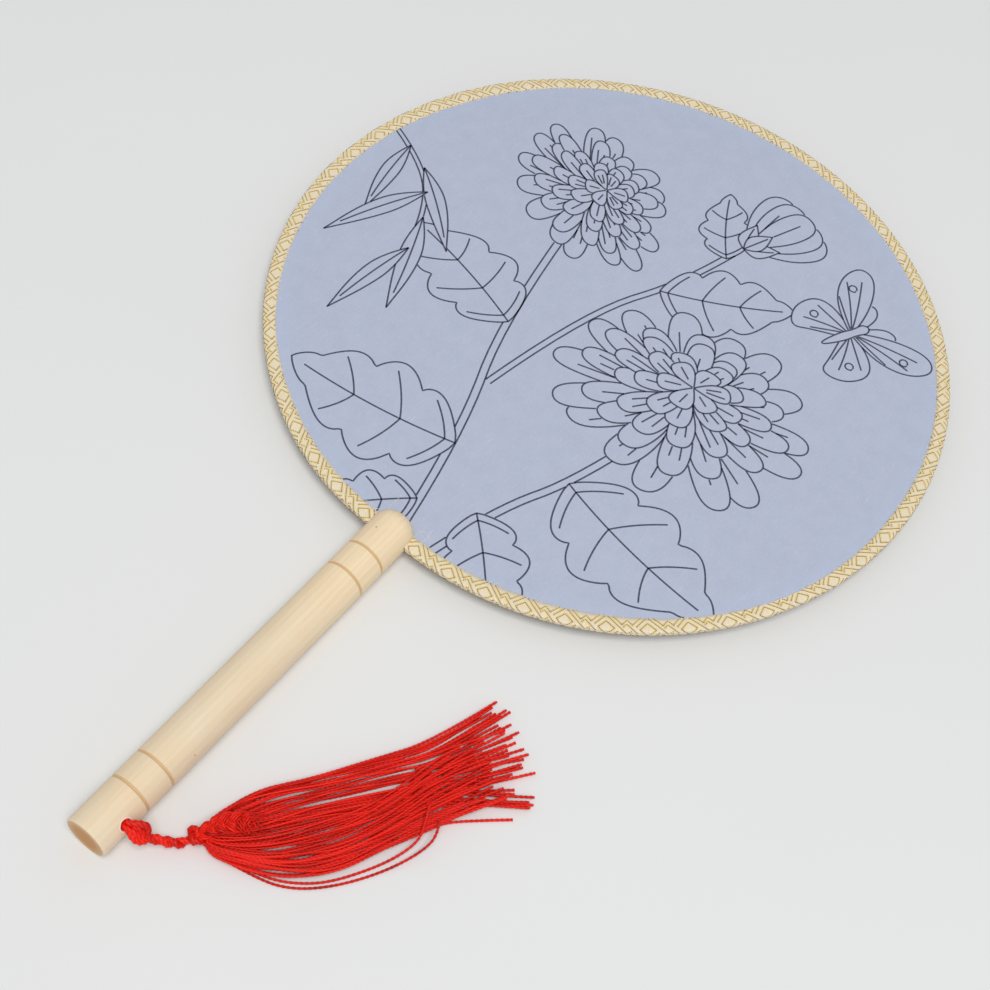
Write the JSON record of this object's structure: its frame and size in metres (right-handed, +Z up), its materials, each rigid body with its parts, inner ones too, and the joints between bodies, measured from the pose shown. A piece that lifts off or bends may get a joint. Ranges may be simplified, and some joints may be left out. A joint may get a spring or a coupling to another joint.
{
  "type": "round hand fan",
  "caption": "Rigid round hand fan: a paper face on a hoop, edged with brocade ribbon, glued in the slot of a turned wooden handle, with a thread tassel on a cord.",
  "frame": {"origin": "on the surface the fan lies on, under the middle of its length and of the face's width; the tassel isn't counted", "axes": "+Y along the handle from its butt to the face, +Z up out of the printed face, +X towards the tassel"},
  "size_m": [0.23, 0.3539, 0.014],
  "materials": {
    "handle_wood": "turned and sanded pale hardwood, unvarnished",
    "hoop_bamboo": "split bamboo strip",
    "face_paper": "matt paper with a printed line drawing",
    "trim_ribbon": "cream ribbon with a woven gold fret",
    "tassel_thread": "bright red rayon thread"
  },
  "bodies": {
    "fan": {"handle": "handle_wood", "hoop": "hoop_bamboo", "front_sheet": "face_paper", "back_sheet": "face_paper", "edge_trim": "trim_ribbon", "stopper_knot": "tassel_thread", "hole_strands": "tassel_thread"},
    "cord": {"mouth_strands": "tassel_thread", "tassel_cord": "tassel_thread"},
    "tassel": {"head_knot": "tassel_thread", "cord_tail": "tassel_thread", "tassel_neck": "tassel_thread", "tassel_lock_1": "tassel_thread", "tassel_lock_2": "tassel_thread", "tassel_lock_3": "tassel_thread", "tassel_lock_4": "tassel_thread", "tassel_lock_5": "tassel_thread", "tassel_lock_6": "tassel_thread", "tassel_lock_7": "tassel_thread", "tassel_lock_8": "tassel_thread", "tassel_lock_9": "tassel_thread", "tassel_lock_10": "tassel_thread", "tassel_lock_11": "tassel_thread", "tassel_lock_12": "tassel_thread", "tassel_lock_13": "tassel_thread"}
  },
  "joints": [
    {"name": "cord_swing", "type": "hinge", "parent": "fan", "child": "cord", "pos_m": [0.00392, -0.16795, 0.0098], "axis": [0, 0, 1], "range_deg": [-80, 22]},
    {"name": "tassel_lift", "type": "hinge", "parent": "cord", "child": "tassel", "pos_m": [0.01613, -0.15665, 0.0027], "axis": [0.7071, -0.7071, 0], "range_deg": [0, 80]}
  ]
}
